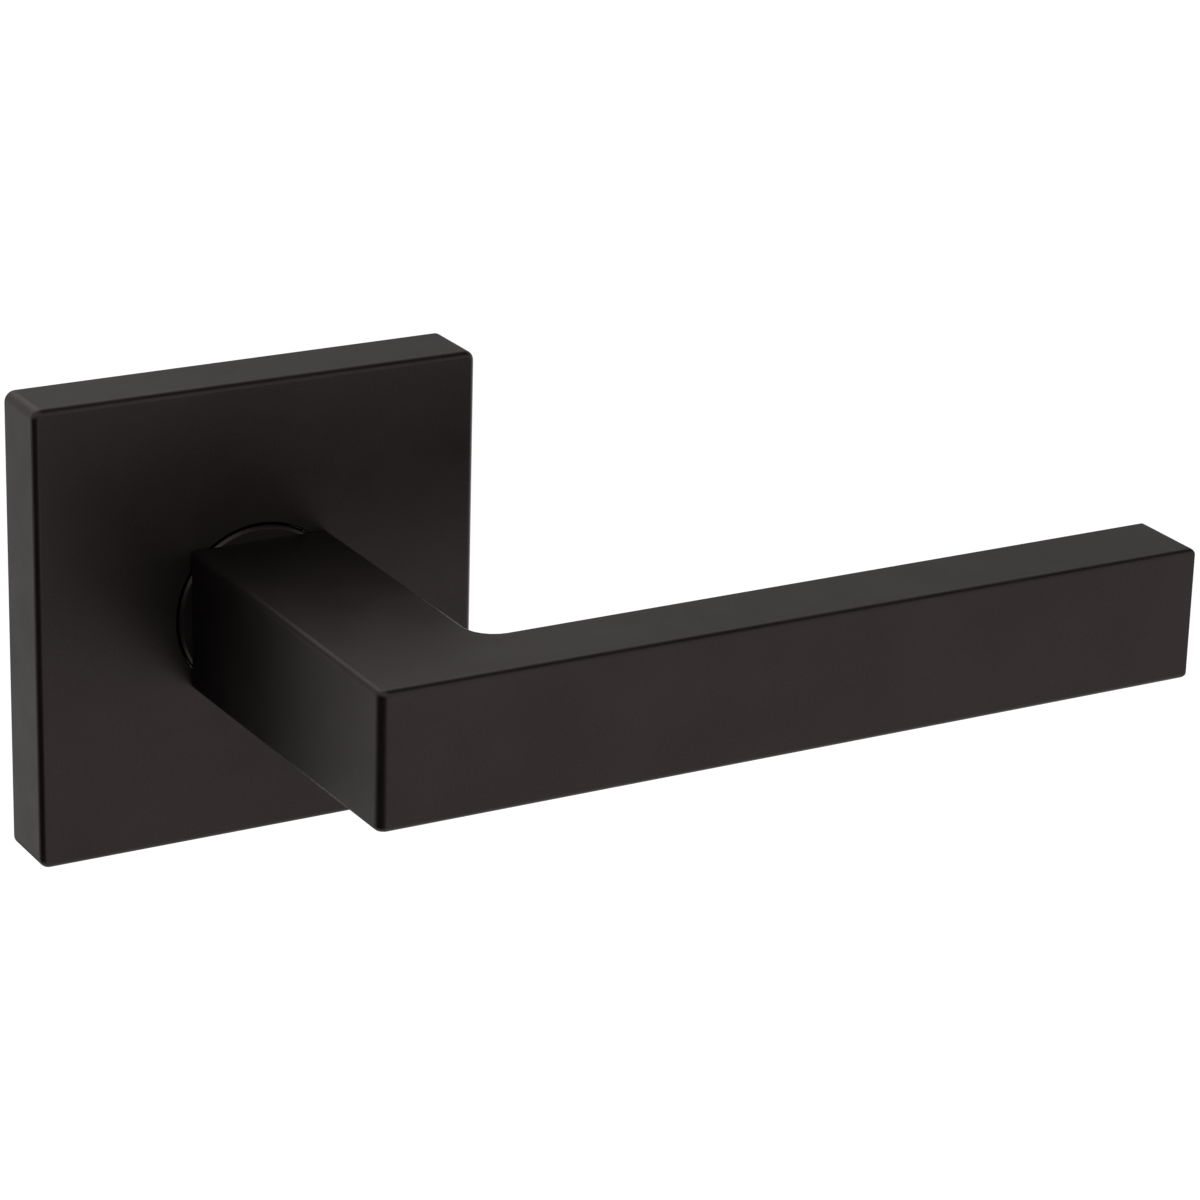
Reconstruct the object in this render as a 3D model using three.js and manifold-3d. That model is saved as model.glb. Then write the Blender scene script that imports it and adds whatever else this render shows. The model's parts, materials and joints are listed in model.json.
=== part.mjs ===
// Door lever handle on a square rosette: one side of a passage set, with its sprung mechanism.
//
// Millimetres. The origin is where the spindle axis meets the door face. +X runs along the grip,
// -Y points out of the door towards the user, +Z is up. Depths are Y values: negative in front of
// the door face, positive inside the door.

import * as THREE from 'three';
import { mergeVertices } from 'three/addons/utils/BufferGeometryUtils.js';
import Module from 'manifold-3d';

const wasm = await Module();
wasm.setup();

// ---------------------------------------------------------------- driving dimensions

// Lever
const LEVER_REACH = 116.3; // spindle axis to the tip of the grip
const LEVER_PROJECTION = 67.2; // door face to the front of the grip
const GRIP_HEIGHT = 19.4;
const GRIP_THICKNESS = 12.5;
const NECK_WIDTH = 20.8;
const NECK_ROOT_HEIGHT = 20.3; // the casting's draft makes the neck taller at the rosette
const LEVER_EDGE_ROUND = 0.9; // along the grip and neck; the tip's upright edges stay sharp
const LEVER_ELBOW_ROUND = 1.5; // outer corner between neck and grip, seen from above
const LEVER_INNER_FILLET = 3.9; // between neck and grip

// Rosette cover
const ROSETTE_SIDE = 66;
const ROSETTE_THICKNESS = 10;
const ROSETTE_WALL = 2;
const ROSETTE_HOLLOW_CORNER = 0.15; // radius
const ROSETTE_EDGE_ROUND = 0.95; // along the front face
const ROSETTE_CORNER_ROUND = 1.5; // seen from the front

// Collar at the root of the neck
const COLLAR_DIAMETER = 24.3;
const COLLAR_THICKNESS = 2;
const COLLAR_STAND = 0.3; // how far it stands out of the rosette
const COLLAR_CHAMFER = 0.35;

// Spindle and drive hub
const SPINDLE_SIDE = 8;
const SPINDLE_REACH = 60; // door face to the inner end
const SPINDLE_PLAY = 0.1; // all round, in the hub
const SPINDLE_CHAMFER = 0.6; // at both ends
const SPINDLE_STEPS = 4; // lengths that each flat is divided into, so that some lie past the hub
const HUB_CORNER_WALL = 1.7; // from the square hole's corner to the round
const HUB_FLAT_WALL = 1.9; // from the square hole's side to the flat
const HUB_NOSE = 18; // length inside the neck

// Retaining rings, one at each end of the mechanism, and wave washer
const RING_THICKNESS = 1;
const RING_WIDTH = 2.3;
const RING_OPENING_DEG = 56;
const RING_LUG_DIAMETER = 3.2;
const RING_LUG_HOLE = 1.1;
const GROOVE_DEPTH = 0.6;
const GROOVE_LAND = 0.8; // hub left behind the rear ring
const WAVE_HEIGHT = 0.9; // free height of the washer
const WAVE_SHEET = 0.4;
const WAVE_COUNT = 3;

// Bushes
const BUSH_WALL = 1.1;
const BUSH_FLANGE_THICKNESS = 0.8;
const BUSH_FLANGE_WIDTH = 2; // beyond the sleeve

// Mounting plate
const PLATE_THICKNESS = 2;
const BOSS_WALL = 1.15;
const LIP_WIDTH = 16; // lip that the cover's grub screw bears on
const LIP_THICKNESS = 1.5;
const LIP_INSET = 1.3; // from the plate's lower edge
const HOOK_SPACING = 30; // hooks that carry the cover's upper wall
const HOOK_WIDTH = 6;
const HOOK_RISE = 0.9; // into the cover's wall

// Through bolts
const BOLT_SPACING = 41.2;
const BOLT_DIAMETER = 4;
const BOLT_REACH = 22; // door face to the tip, inside the far rosette's threaded post
const BOLT_HEAD_DIAMETER = 7.8;
const BOLT_HEAD_HEIGHT = 2.5;
const BOLT_WASHER_DIAMETER = 9;
const BOLT_WASHER_THICKNESS = 0.8;
const BOLT_PLAY = 0.3;

// Pan heads of the bolts and cage screws, as shares of the head
const HEAD_CROWN = 0.7; // radius of its flat top
const HEAD_SHOULDER = 0.5; // height where its slope starts
const RECESS_REACH = 0.55; // arms of the cross, from the centre
const RECESS_HALF_WIDTH = 0.14;
const RECESS_DEPTH = 0.55;
const TIP_CHAMFER = 0.3; // at the shank's end, as a share of its radius

// Spring cage, in the door's cross bore
const CROSS_BORE = 54;
const BORE_MARGIN = 1.5; // from the cage's flange to the wall of the bore
const CAGE_WALL = 1.4;
const CAGE_SEAT_DEPTH = 0.3; // round recess in the plate's back that centres the flange
const CAGE_SCREW_DIAMETER = 3;
const CAGE_SCREW_HEAD_DIAMETER = 5;
const CAGE_SCREW_HEAD_HEIGHT = 1.8;

// Stop cam, stop pin and travel
const TRAVEL_DEG = 45; // the grip turns down from level
const CAM_THICKNESS = 2;
const CAM_RING_WIDTH = 2.6; // round the hub
const CAM_RIM = 1.2; // outside the pin and the spring's leg
const CAM_LOBE_MARGIN_DEG = 14; // beyond the pin and the spring's leg
const STOP_PIN_DIAMETER = 3.2;
const STOP_PIN_STAND = 0.6; // in front of the plate

// Return spring
const SPRING_WIRE = 2;
const SPRING_TURNS = 3.5;
const SPRING_PITCH = 2.2;
const SPRING_BEND = 2; // radius at the root of each leg
const SPRING_LEG_PLAY = 0.3; // all round, in its hole
const SPRING_LEG_ANGLE_DEG = 60; // from the stop pin to the moving leg

// Set screws
const SET_SCREW_DIAMETER = 5;
const SET_SCREW_KEY = 2.5; // across the flats of its hexagon socket
const SET_SCREW_RECESS = 0.8; // below the neck's underside
const GRUB_SCREW_DIAMETER = 3;
const GRUB_SCREW_KEY = 1.5;
const GRUB_SCREW_RECESS = 0.4;
const KEY_SOCKET_SHARE = 0.45; // of the screw's length

// Gaps
const RUNNING_GAP = 0.15; // radial, between parts that turn and parts that don't
const SEAT_GAP = 0.1; // between parts that seat or press on each other
const FACE_GAP = 0.3; // between parts that face each other along the axis
const COLLAR_GAP = 0.35; // the shadow line round the collar

// Facets
const ROUND_STEPS = 40;
const SMALL_ROUND_STEPS = 16;
const ARC_STEPS = 4; // an arc of an outline has twice as many facets
const LONG_ARC_STEPS = 12; // for an arc of half a turn or more
const EDGE_STEPS = 3; // across a rounded edge
const SPRING_POINTS_PER_TURN = 12;
const SPRING_STEPS = 150; // along the wire
const OVERCUT = 1; // how far a cutting tool runs past the face it opens

// ---------------------------------------------------------------- sizes that follow

const hubHole = SPINDLE_SIDE + 2 * SPINDLE_PLAY;
const hubRadius = (hubHole / 2) * Math.SQRT2 + HUB_CORNER_WALL;
const hubFlat = hubHole / 2 + HUB_FLAT_WALL; // axis to flat
const bushInnerRadius = hubRadius + RUNNING_GAP;
const bushOuterRadius = bushInnerRadius + BUSH_WALL;
const bushFlangeRadius = bushOuterRadius + BUSH_FLANGE_WIDTH;
const bushSeatRadius = bushOuterRadius + SEAT_GAP;
const bossRadius = bushSeatRadius + BOSS_WALL;
const ringInnerRadius = hubRadius - GROOVE_DEPTH + SEAT_GAP;
const ringOuterRadius = ringInnerRadius + RING_WIDTH;

const stopPinRadius = STOP_PIN_DIAMETER / 2;
const slotHalfWidth = stopPinRadius + RUNNING_GAP;
const pinCircleRadius = bossRadius + slotHalfWidth + RUNNING_GAP;
const camRadius = pinCircleRadius + stopPinRadius + CAM_RIM;
const cageInnerRadius = camRadius + FACE_GAP;
const cageOuterRadius = cageInnerRadius + CAGE_WALL;
const legHoleRadius = SPRING_WIRE / 2 + SPRING_LEG_PLAY;
const springRadius = camRadius - CAM_RIM - legHoleRadius;
const flangeRadius = CROSS_BORE / 2 - BORE_MARGIN;
const cageScrewRadius = (cageOuterRadius + flangeRadius) / 2; // distance from the axis

const collarRadius = COLLAR_DIAMETER / 2;
const plateSide = ROSETTE_SIDE - 2 * ROSETTE_WALL - 2 * FACE_GAP;
const boltHoleRadius = BOLT_DIAMETER / 2 + BOLT_PLAY;

// Depths along the spindle, from the grip to the inside of the door
const gripFront = -LEVER_PROJECTION;
const gripBack = gripFront + GRIP_THICKNESS;
const rosetteFace = -ROSETTE_THICKNESS;
const collarFront = rosetteFace - COLLAR_STAND;
const collarBack = collarFront + COLLAR_THICKNESS;
const neckRoot = collarFront - SEAT_GAP;
const ringFront = collarBack + FACE_GAP;
const ringBack = ringFront + RING_THICKNESS;
const waveFront = ringBack + SEAT_GAP;
const waveBack = waveFront + WAVE_HEIGHT;
const bushFront = waveBack + SEAT_GAP;
const bossFront = bushFront + BUSH_FLANGE_THICKNESS + SEAT_GAP;
const plateFront = -PLATE_THICKNESS;
const camFront = FACE_GAP;
const camBack = camFront + CAM_THICKNESS;
const springFront = camBack + FACE_GAP + SPRING_BEND;
const springBack = springFront + SPRING_TURNS * SPRING_PITCH;
const cageFront = SEAT_GAP - CAGE_SEAT_DEPTH;
const cageFlangeBack = cageFront + CAGE_WALL;
const cageBackFront = springBack + SPRING_BEND + FACE_GAP;
const cageBack = cageBackFront + CAGE_WALL;
const hubFront = neckRoot - HUB_NOSE;
const bushBack = cageBack + FACE_GAP;
const rearRingFront = bushBack + SEAT_GAP;
const rearRingBack = rearRingFront + RING_THICKNESS;
const hubBack = rearRingBack + SEAT_GAP + GROOVE_LAND;

const travel = THREE.MathUtils.degToRad(TRAVEL_DEG);
const pinAngle = Math.PI / 2 + travel / 2; // the slot is centred above the axis
const legAngle = pinAngle + THREE.MathUtils.degToRad(SPRING_LEG_ANGLE_DEG);
const fixedLegAngle = legAngle + SPRING_TURNS * 2 * Math.PI;

// ---------------------------------------------------------------- solids

function toSolid(source) {
  const geometry = source.clone();
  geometry.deleteAttribute('normal');
  geometry.deleteAttribute('uv');
  const merged = mergeVertices(geometry);
  const mesh = new wasm.Mesh({
    numProp: 3,
    vertProperties: new Float32Array(merged.attributes.position.array),
    triVerts: new Uint32Array(merged.index.array),
  });
  return new wasm.Manifold(mesh);
}

function toGeometry(solid) {
  const mesh = solid.getMesh();
  const geometry = new THREE.BufferGeometry();
  geometry.setAttribute('position', new THREE.BufferAttribute(mesh.vertProperties, 3));
  geometry.setIndex(new THREE.BufferAttribute(mesh.triVerts, 1));
  geometry.computeVertexNormals();
  return geometry;
}

function cut(solid, tools) {
  return tools.reduce((left, tool) => left.subtract(tool), solid);
}

function join(solid, others) {
  return others.reduce((whole, other) => whole.add(other), solid);
}

// A box between two corners.
function box(low, high) {
  const size = high.map((value, axis) => value - low[axis]);
  const geometry = new THREE.BoxGeometry(...size);
  geometry.translate(...high.map((value, axis) => (value + low[axis]) / 2));
  return toSolid(geometry);
}

// An outline drawn in X and Z, made solid from its front depth to its back depth.
function platePiece(outline, front, back, curveSegments = ARC_STEPS) {
  const geometry = new THREE.ExtrudeGeometry(outline, {
    depth: back - front,
    bevelEnabled: false,
    curveSegments,
  });
  geometry.rotateX(Math.PI / 2);
  geometry.translate(0, back, 0);
  return toSolid(geometry);
}

// A profile of [radius, depth] points turned round the spindle axis, front point first.
// It starts and ends on the axis, or closes on itself.
function turned(profile, steps = ROUND_STEPS) {
  const points = profile.map(([radius, depth]) => new THREE.Vector2(radius, depth));
  return toSolid(new THREE.LatheGeometry(points, steps));
}

function disc(radius, front, back, steps = ROUND_STEPS) {
  return turned([[0, front], [radius, front], [radius, back], [0, back]], steps);
}

function ring(innerRadius, outerRadius, front, back) {
  return turned([
    [innerRadius, front],
    [outerRadius, front],
    [outerRadius, back],
    [innerRadius, back],
    [innerRadius, front],
  ]);
}

function at(solid, x, z) {
  return solid.translate(x, 0, z);
}

// A rod along the spindle's direction, centred on x and z.
function rod(radius, front, back, x, z) {
  return at(disc(radius, front, back, SMALL_ROUND_STEPS), x, z);
}

// A rod along Z at the given depth, on the YZ plane.
function uprightRod(radius, depth, low, high) {
  const geometry = new THREE.CylinderGeometry(radius, radius, high - low, SMALL_ROUND_STEPS);
  geometry.rotateX(Math.PI / 2);
  geometry.translate(0, depth, (low + high) / 2);
  return toSolid(geometry);
}

function uprightHexagon(acrossFlats, depth, low, high) {
  const radius = acrossFlats / Math.sqrt(3);
  const geometry = new THREE.CylinderGeometry(radius, radius, high - low, 6);
  geometry.rotateX(Math.PI / 2);
  geometry.translate(0, depth, (low + high) / 2);
  return toSolid(geometry);
}

function polar(radius, angle) {
  return [radius * Math.cos(angle), radius * Math.sin(angle)];
}

// ---------------------------------------------------------------- outlines

// A square with a small arc at each corner.
function squareOutline(side, cornerRadius) {
  const outline = new THREE.Shape();
  const centre = side / 2 - cornerRadius;
  const corners = [[centre, -centre], [centre, centre], [-centre, centre], [-centre, -centre]];
  corners.forEach(([x, z], index) => {
    const start = (index - 1) * (Math.PI / 2);
    outline.absarc(x, z, cornerRadius, start, start + Math.PI / 2, false);
  });
  outline.closePath();
  return outline;
}

// A circle with a flat above and a flat below.
function flattedOutline(radius, flat) {
  const corner = Math.asin(flat / radius);
  const outline = new THREE.Shape();
  outline.absarc(0, 0, radius, -corner, corner, false);
  outline.absarc(0, 0, radius, Math.PI - corner, Math.PI + corner, false);
  outline.closePath();
  return outline;
}

// An arc slot with round ends.
function slotOutline(radius, halfWidth, from, to) {
  const outline = new THREE.Shape();
  outline.absarc(0, 0, radius + halfWidth, from, to, false);
  outline.absarc(...polar(radius, to), halfWidth, to, to + Math.PI, false);
  outline.absarc(0, 0, radius - halfWidth, to, from, true);
  outline.absarc(...polar(radius, from), halfWidth, from + Math.PI, from + 2 * Math.PI, false);
  outline.closePath();
  return outline;
}

// A band of a circle, open between the two angles.
function openRingOutline(innerRadius, outerRadius, from, to) {
  const outline = new THREE.Shape();
  outline.absarc(0, 0, outerRadius, from, to, false);
  outline.absarc(0, 0, innerRadius, to, from, true);
  outline.closePath();
  return outline;
}

// The lever seen from above, in X and Y, smaller by `inset` all round.
function leverOutline(inset, root) {
  const left = -NECK_WIDTH / 2 + inset;
  const right = NECK_WIDTH / 2 - inset;
  const front = gripFront + inset;
  const back = gripBack - inset;
  const tip = LEVER_REACH - inset;
  const fillet = LEVER_INNER_FILLET + inset;
  const elbow = LEVER_ELBOW_ROUND - inset;
  const outline = new THREE.Shape();
  outline.moveTo(right, root);
  outline.lineTo(left, root);
  outline.absarc(left + elbow, front + elbow, elbow, Math.PI, 1.5 * Math.PI, false);
  outline.lineTo(tip, front);
  outline.lineTo(tip, back);
  outline.absarc(right + fillet, back + fillet, fillet, 1.5 * Math.PI, Math.PI, true);
  outline.closePath();
  return outline;
}

// ---------------------------------------------------------------- the parts that turn

// Half the lever's height at a depth: level on the grip's front, growing by the draft to the root.
function leverHalfHeight(depth) {
  const share = (depth - gripFront) / (neckRoot - gripFront);
  return THREE.MathUtils.lerp(GRIP_HEIGHT, NECK_ROOT_HEIGHT, share) / 2;
}

const setScrewDepth = neckRoot - HUB_NOSE / 2;
const setScrewTip = -SPINDLE_SIDE / 2 - SEAT_GAP;
const setScrewEnd = -leverHalfHeight(setScrewDepth) + SET_SCREW_RECESS;
const setScrewRadius = SET_SCREW_DIAMETER / 2;

function leverCasting() {
  const round = LEVER_EDGE_ROUND;
  const pastRoot = neckRoot + OVERCUT + round;
  const geometry = new THREE.ExtrudeGeometry(leverOutline(round, pastRoot), {
    depth: GRIP_HEIGHT - 2 * round,
    bevelSize: round,
    bevelThickness: round,
    bevelSegments: EDGE_STEPS,
    curveSegments: ARC_STEPS,
  });
  geometry.translate(0, 0, round - GRIP_HEIGHT / 2);
  const position = geometry.attributes.position;
  for (let i = 0; i < position.count; i += 1) {
    const scale = leverHalfHeight(position.getY(i)) / (GRIP_HEIGHT / 2);
    position.setZ(i, position.getZ(i) * scale);
  }
  return toSolid(geometry);
}

function lever() {
  const clear = GRIP_HEIGHT + NECK_ROOT_HEIGHT;
  const behindRoot = box([-clear, neckRoot, -clear], [clear, neckRoot + clear, clear]);
  const socket = platePiece(
    flattedOutline(hubRadius + SEAT_GAP, hubFlat + SEAT_GAP),
    hubFront - FACE_GAP,
    neckRoot + OVERCUT,
  );
  const screwHole = uprightRod(setScrewRadius + SEAT_GAP, setScrewDepth, -clear / 2, 0);
  return cut(leverCasting(), [behindRoot, socket, screwHole]);
}

function leverSetScrew() {
  const length = setScrewTip - setScrewEnd;
  const body = uprightRod(setScrewRadius, setScrewDepth, setScrewEnd, setScrewTip);
  const key = uprightHexagon(
    SET_SCREW_KEY,
    setScrewDepth,
    setScrewEnd - OVERCUT,
    setScrewEnd + length * KEY_SOCKET_SHARE,
  );
  return cut(body, [key]);
}

function leverCollar() {
  const inner = hubRadius + SEAT_GAP;
  return turned([
    [inner, collarFront],
    [collarRadius - COLLAR_CHAMFER, collarFront],
    [collarRadius, collarFront + COLLAR_CHAMFER],
    [collarRadius, collarBack],
    [inner, collarBack],
    [inner, collarFront],
  ]);
}

function hubFlatTools(front, back) {
  const reach = 2 * hubRadius;
  return [-1, 1].map((side) => {
    const faces = [side * hubFlat, side * reach].sort((a, b) => a - b);
    return box([-reach, front, faces[0]], [reach, back, faces[1]]);
  });
}

function driveHub() {
  const half = hubHole / 2;
  const grooves = [[ringFront, ringBack], [rearRingFront, rearRingBack]].map(([front, back]) => {
    return ring(hubRadius - GROOVE_DEPTH, hubRadius + OVERCUT, front - SEAT_GAP, back + SEAT_GAP);
  });
  const hole = box([-half, hubFront - OVERCUT, -half], [half, hubBack + OVERCUT, half]);
  const screwHole = uprightRod(setScrewRadius + FACE_GAP, setScrewDepth, -2 * hubRadius, 0);
  return cut(disc(hubRadius, hubFront, hubBack), [
    ...grooves,
    hole,
    screwHole,
    ...hubFlatTools(hubFront - OVERCUT, neckRoot),
    ...hubFlatTools(0, hubBack + OVERCUT),
  ]);
}

function retainingRing(front, back) {
  const half = THREE.MathUtils.degToRad(RING_OPENING_DEG / 2);
  const from = -Math.PI / 2 + half;
  const to = 1.5 * Math.PI - half;
  const band = platePiece(
    openRingOutline(ringInnerRadius, ringOuterRadius, from, to),
    front,
    back,
    LONG_ARC_STEPS,
  );
  const lugCircle = ringInnerRadius + RING_LUG_DIAMETER / 2;
  const lugs = [from, to].map((angle) => {
    return rod(RING_LUG_DIAMETER / 2, front, back, ...polar(lugCircle, angle));
  });
  const holes = [from, to].map((angle) => {
    const [x, z] = polar(lugCircle, angle);
    return rod(RING_LUG_HOLE / 2, front - OVERCUT, back + OVERCUT, x, z);
  });
  return cut(join(band, lugs), holes);
}

function waveWasher() {
  const inner = hubRadius + RUNNING_GAP;
  const points = [
    [inner, 0],
    [ringOuterRadius, 0],
    [ringOuterRadius, WAVE_SHEET],
    [inner, WAVE_SHEET],
    [inner, 0],
  ].map(([radius, depth]) => new THREE.Vector2(radius, depth));
  const geometry = new THREE.LatheGeometry(points, ROUND_STEPS);
  const amplitude = (WAVE_HEIGHT - WAVE_SHEET) / 2;
  const position = geometry.attributes.position;
  for (let i = 0; i < position.count; i += 1) {
    const angle = Math.atan2(position.getZ(i), position.getX(i));
    const wave = amplitude * (1 + Math.cos(WAVE_COUNT * angle));
    position.setY(i, waveFront + position.getY(i) + wave);
  }
  return toSolid(geometry);
}

// A stamped plate: a ring round the hub and a lobe that carries the stop pin and turns the spring.
function stopCam() {
  const margin = THREE.MathUtils.degToRad(CAM_LOBE_MARGIN_DEG);
  const from = pinAngle - margin;
  const to = legAngle + margin;
  const outline = new THREE.Shape();
  outline.absarc(0, 0, camRadius, from, to, false);
  outline.absarc(0, 0, hubRadius + CAM_RING_WIDTH, to, from + 2 * Math.PI, false);
  outline.closePath();
  const keyway = platePiece(
    flattedOutline(hubRadius + SEAT_GAP, hubFlat + SEAT_GAP),
    camFront - OVERCUT,
    camBack + OVERCUT,
  );
  const pinHole = rod(
    stopPinRadius + SEAT_GAP,
    camFront - OVERCUT,
    camBack + OVERCUT,
    ...polar(pinCircleRadius, pinAngle),
  );
  const legHole = rod(
    legHoleRadius,
    camFront - OVERCUT,
    camBack + OVERCUT,
    ...polar(springRadius, legAngle),
  );
  return cut(platePiece(outline, camFront, camBack, LONG_ARC_STEPS), [keyway, pinHole, legHole]);
}

function stopPin() {
  const front = plateFront - STOP_PIN_STAND;
  return rod(stopPinRadius, front, camBack, ...polar(pinCircleRadius, pinAngle));
}

// A square bar with chamfered ends.
function spindle() {
  const half = SPINDLE_SIDE / 2 - SPINDLE_CHAMFER;
  const front = hubFront + 2 * FACE_GAP;
  const corners = [[-half, -half], [half, -half], [half, half], [-half, half]];
  const outline = new THREE.Shape(corners.map(([x, z]) => new THREE.Vector2(x, z)));
  const geometry = new THREE.ExtrudeGeometry(outline, {
    depth: SPINDLE_REACH - front - 2 * SPINDLE_CHAMFER,
    steps: SPINDLE_STEPS,
    bevelSize: SPINDLE_CHAMFER,
    bevelThickness: SPINDLE_CHAMFER,
    bevelSegments: 1,
  });
  geometry.rotateX(Math.PI / 2);
  geometry.translate(0, SPINDLE_REACH - SPINDLE_CHAMFER, 0);
  return toSolid(geometry);
}

// ---------------------------------------------------------------- the parts fixed to the door

const grubScrewDepth = (plateFront + rosetteFace + ROSETTE_WALL) / 2;
const grubScrewRadius = GRUB_SCREW_DIAMETER / 2;
const lipFace = -plateSide / 2 + LIP_INSET;

function hookBox(x, gap) {
  const half = HOOK_WIDTH / 2 + gap;
  const top = plateSide / 2 + HOOK_RISE + gap;
  return box([x - half, plateFront - gap, plateSide / 2 - OVERCUT], [x + half, gap, top]);
}

function hookPlaces() {
  return [-HOOK_SPACING / 2, HOOK_SPACING / 2];
}

function rosetteCover() {
  const round = ROSETTE_EDGE_ROUND;
  const faceOutline = squareOutline(ROSETTE_SIDE - 2 * round, ROSETTE_CORNER_ROUND - round);
  const geometry = new THREE.ExtrudeGeometry(faceOutline, {
    depth: ROSETTE_THICKNESS,
    bevelSize: round,
    bevelThickness: round,
    bevelSegments: EDGE_STEPS,
    curveSegments: ARC_STEPS,
  });
  geometry.rotateX(Math.PI / 2);
  geometry.translate(0, round, 0);
  const reach = ROSETTE_SIDE;
  const hollowSide = ROSETTE_SIDE - 2 * ROSETTE_WALL;
  const inside = rosetteFace + ROSETTE_WALL;
  const tools = [
    box([-reach, 0, -reach], [reach, reach, reach]),
    platePiece(squareOutline(hollowSide, ROSETTE_HOLLOW_CORNER), inside, OVERCUT),
    disc(collarRadius + COLLAR_GAP, rosetteFace - OVERCUT, 0),
    uprightRod(grubScrewRadius + SEAT_GAP, grubScrewDepth, -reach, -hollowSide / 2 + OVERCUT),
    ...hookPlaces().map((x) => hookBox(x, SEAT_GAP)),
  ];
  return cut(toSolid(geometry), tools);
}

function coverGrubScrew() {
  const low = -ROSETTE_SIDE / 2 + GRUB_SCREW_RECESS;
  const high = lipFace - SEAT_GAP;
  const keyEnd = low + (high - low) * KEY_SOCKET_SHARE;
  return cut(uprightRod(grubScrewRadius, grubScrewDepth, low, high), [
    uprightHexagon(GRUB_SCREW_KEY, grubScrewDepth, low - OVERCUT, keyEnd),
  ]);
}

function boltPlaces() {
  return [-BOLT_SPACING / 2, BOLT_SPACING / 2];
}

function cageScrewPlaces() {
  return [1, 3, 5, 7].map((eighth) => polar(cageScrewRadius, (eighth * Math.PI) / 4));
}

function boltHoles(front, back) {
  return boltPlaces().map((x) => rod(boltHoleRadius, front, back, x, 0));
}

function cageScrewHoles(front, back) {
  const radius = CAGE_SCREW_DIAMETER / 2 + SEAT_GAP;
  return cageScrewPlaces().map(([x, z]) => rod(radius, front, back, x, z));
}

function mountingPlate() {
  const half = LIP_WIDTH / 2;
  const lipFront = grubScrewDepth - grubScrewRadius - SEAT_GAP;
  const sheet = platePiece(squareOutline(plateSide, ROSETTE_CORNER_ROUND), plateFront, 0);
  const boss = disc(bossRadius, bossFront, plateFront / 2);
  const lip = box([-half, lipFront, lipFace], [half, plateFront / 2, lipFace + LIP_THICKNESS]);
  const hooks = hookPlaces().map((x) => hookBox(x, 0));
  const slot = platePiece(
    slotOutline(pinCircleRadius, slotHalfWidth, pinAngle - travel, pinAngle),
    plateFront - OVERCUT,
    OVERCUT,
  );
  return cut(join(sheet, [boss, lip, ...hooks]), [
    disc(bushSeatRadius, bossFront - OVERCUT, OVERCUT),
    disc(flangeRadius + FACE_GAP, -CAGE_SEAT_DEPTH, OVERCUT),
    slot,
    ...boltHoles(plateFront - OVERCUT, OVERCUT),
    ...cageScrewHoles(plateFront - OVERCUT, OVERCUT),
  ]);
}

function frontBush() {
  const flangeBack = bushFront + BUSH_FLANGE_THICKNESS;
  return turned([
    [bushInnerRadius, bushFront],
    [bushFlangeRadius, bushFront],
    [bushFlangeRadius, flangeBack],
    [bushOuterRadius, flangeBack],
    [bushOuterRadius, 0],
    [bushInnerRadius, 0],
    [bushInnerRadius, bushFront],
  ]);
}

function rearBush() {
  const flangeFront = cageBackFront - BUSH_FLANGE_THICKNESS;
  const flangeBack = cageBackFront - SEAT_GAP;
  return turned([
    [bushInnerRadius, flangeFront],
    [bushFlangeRadius, flangeFront],
    [bushFlangeRadius, flangeBack],
    [bushOuterRadius, flangeBack],
    [bushOuterRadius, bushBack],
    [bushInnerRadius, bushBack],
    [bushInnerRadius, flangeFront],
  ]);
}

// A drawn cup whose round flange sits in the seat in the mounting plate's back.
function springCage() {
  const cup = turned([
    [cageInnerRadius, cageFront],
    [flangeRadius, cageFront],
    [flangeRadius, cageFlangeBack],
    [cageOuterRadius, cageFlangeBack],
    [cageOuterRadius, cageBack],
    [bushSeatRadius, cageBack],
    [bushSeatRadius, cageBackFront],
    [cageInnerRadius, cageBackFront],
    [cageInnerRadius, cageFront],
  ]);
  const legHole = rod(
    legHoleRadius,
    cageBackFront - OVERCUT,
    cageBack + OVERCUT,
    ...polar(springRadius, fixedLegAngle),
  );
  return cut(cup, [
    legHole,
    ...boltHoles(cageFront - OVERCUT, cageBack + OVERCUT),
    ...cageScrewHoles(cageFront - OVERCUT, cageFlangeBack + OVERCUT),
  ]);
}

// A cross recess in a screw head whose outer face is at `face`, sinking in the direction `into`.
function crossRecess(headRadius, headHeight, face, into) {
  const long = headRadius * RECESS_REACH;
  const narrow = headRadius * RECESS_HALF_WIDTH;
  const floor = face + into * headHeight * RECESS_DEPTH;
  const depths = [face - into * OVERCUT, floor].sort((a, b) => a - b);
  return [[long, narrow], [narrow, long]].map(([x, z]) => {
    return box([-x, depths[0], -z], [x, depths[1], z]);
  });
}

// A screw along the spindle's direction. `seat` is the head's underside and `tip` the other end.
function panHeadScrew(headRadius, headHeight, shankRadius, seat, tip) {
  const into = Math.sign(tip - seat);
  const face = seat - into * headHeight;
  const shoulder = seat - into * headHeight * HEAD_SHOULDER;
  const chamfer = shankRadius * TIP_CHAMFER;
  const profile = [
    [0, face],
    [headRadius * HEAD_CROWN, face],
    [headRadius, shoulder],
    [headRadius, seat],
    [shankRadius, seat],
    [shankRadius, tip - into * chamfer],
    [shankRadius - chamfer, tip],
    [0, tip],
  ];
  const ordered = into > 0 ? profile : profile.reverse();
  return cut(turned(ordered, SMALL_ROUND_STEPS), crossRecess(headRadius, headHeight, face, into));
}

function cageScrew([x, z]) {
  const screw = panHeadScrew(
    CAGE_SCREW_HEAD_DIAMETER / 2,
    CAGE_SCREW_HEAD_HEIGHT,
    CAGE_SCREW_DIAMETER / 2,
    cageFlangeBack + SEAT_GAP,
    plateFront,
  );
  return at(screw, x, z);
}

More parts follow.
